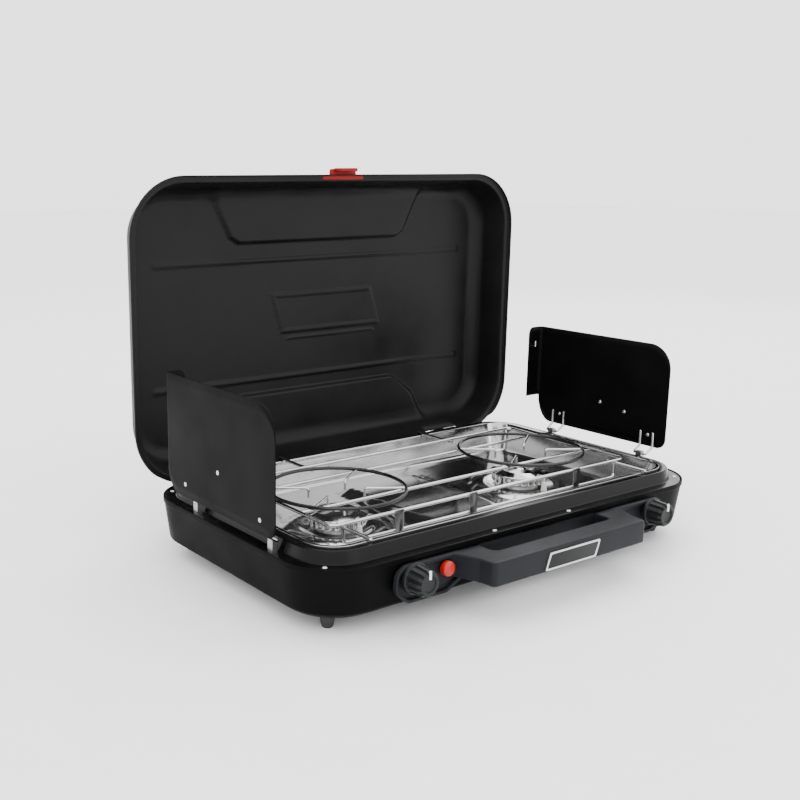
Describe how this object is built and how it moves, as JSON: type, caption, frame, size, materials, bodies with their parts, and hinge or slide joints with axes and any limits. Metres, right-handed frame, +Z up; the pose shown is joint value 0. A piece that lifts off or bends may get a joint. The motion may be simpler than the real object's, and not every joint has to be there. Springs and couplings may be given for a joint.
{
  "type": "camping stove",
  "caption": "Clamshell gas camping stove with folding lid and wind panels, wire grate over burners in a drip tray, front knobs, igniter and carry handle.",
  "frame": {"origin": "on the ground, below the middle of the base pan", "axes": "+X to the user's right along the front, -Y is the front, +Z up"},
  "size_m": [0.576, 0.4316, 0.4218],
  "materials": {
    "dark_paint": "satin",
    "dark_plastic": "satin",
    "polished_steel": "polished",
    "bright_wire": "polished",
    "dark_wire": "satin",
    "plain_steel": "satin",
    "hinge_steel": "satin",
    "brass": "satin",
    "badge_metal": "satin",
    "red_plastic": "gloss",
    "white_inlay": "matte",
    "rubber": "matte",
    "ceramic": "gloss"
  },
  "bodies": {
    "base": {"base_pan": "dark_paint", "deck": "dark_paint", "drip_tray": "polished_steel", "front_fascia": "dark_plastic", "handle_badge": "badge_metal", "feet": "rubber", "deck_screws": "bright_wire", "latch_keeper": "hinge_steel", "base_hinge_leaves": "hinge_steel", "base_hinge_rivets": "plain_steel", "lid_hinge_pins": "bright_wire", "panel_brackets": "plain_steel", "burner_cup_left": "polished_steel", "burner_cup_right": "polished_steel", "burner_head_left": "polished_steel", "burner_head_right": "polished_steel", "burner_cap_left": "polished_steel", "burner_cap_right": "polished_steel", "venturi_left": "plain_steel", "venturi_right": "plain_steel", "valve_body_left": "brass", "valve_body_right": "brass", "manifold_pipe": "plain_steel", "gas_inlet": "brass", "igniter_body": "dark_plastic", "electrode_left": "ceramic", "electrode_right": "ceramic", "ignition_leads": "red_plastic", "grate_rails": "bright_wire", "grate_ring_left": "dark_wire", "grate_ring_right": "dark_wire", "grate_straps": "bright_wire", "grate_legs": "bright_wire"},
    "lid": {"lid_shell": "dark_paint", "lid_hinge_leaves": "hinge_steel", "lid_hinge_rivets": "plain_steel", "latch_lugs": "dark_paint", "latch_pin": "bright_wire"},
    "latch": {"latch_lever": "red_plastic"},
    "left_wind_panel": {"left_panel": "dark_paint", "left_panel_wires": "bright_wire", "left_panel_clips": "bright_wire", "left_panel_hook": "bright_wire"},
    "right_wind_panel": {"right_panel": "dark_paint", "right_panel_wires": "bright_wire", "right_panel_clips": "bright_wire", "right_panel_hook": "bright_wire"},
    "left_knob_body": {"left_knob": "dark_plastic", "left_knob_pointer": "white_inlay", "left_valve_stem": "brass"},
    "right_knob_body": {"right_knob": "dark_plastic", "right_knob_pointer": "white_inlay", "right_valve_stem": "brass"},
    "igniter": {"igniter_button": "red_plastic"}
  },
  "joints": [
    {"name": "lid_close", "type": "hinge", "parent": "base", "child": "lid", "pos_m": [0, 0.16915, 0.06985], "axis": [1, 0, 0], "range_deg": [0, 90]},
    {"name": "latch_swing", "type": "hinge", "parent": "lid", "child": "latch", "pos_m": [0, 0.1738, 0.41075], "axis": [1, 0, 0], "range_deg": [0, 10]},
    {"name": "left_panel_fold", "type": "hinge", "parent": "base", "child": "left_wind_panel", "pos_m": [-0.272, 0, 0.08], "axis": [0, 1, 0], "range_deg": [0, 90]},
    {"name": "right_panel_fold", "type": "hinge", "parent": "base", "child": "right_wind_panel", "pos_m": [0.272, 0, 0.08], "axis": [0, 1, 0], "range_deg": [-90, 0]},
    {"name": "left_knob_turn", "type": "hinge", "parent": "base", "child": "left_knob_body", "pos_m": [-0.1745, -0.18, 0.0488], "axis": [0, 1, 0], "range_deg": [0, 250]},
    {"name": "right_knob_turn", "type": "hinge", "parent": "base", "child": "right_knob_body", "pos_m": [0.1745, -0.18, 0.0488], "axis": [0, 1, 0], "range_deg": [0, 250]},
    {"name": "igniter_press", "type": "slide", "parent": "base", "child": "igniter", "axis": [0, 1, 0], "range_m": [0, 0.0035], "stiffness_N_per_m": 400}
  ],
  "couplings": [
    {"joint": "left_panel_fold", "follows": "lid_close", "ratio": 1},
    {"joint": "right_panel_fold", "follows": "lid_close", "ratio": -1}
  ]
}
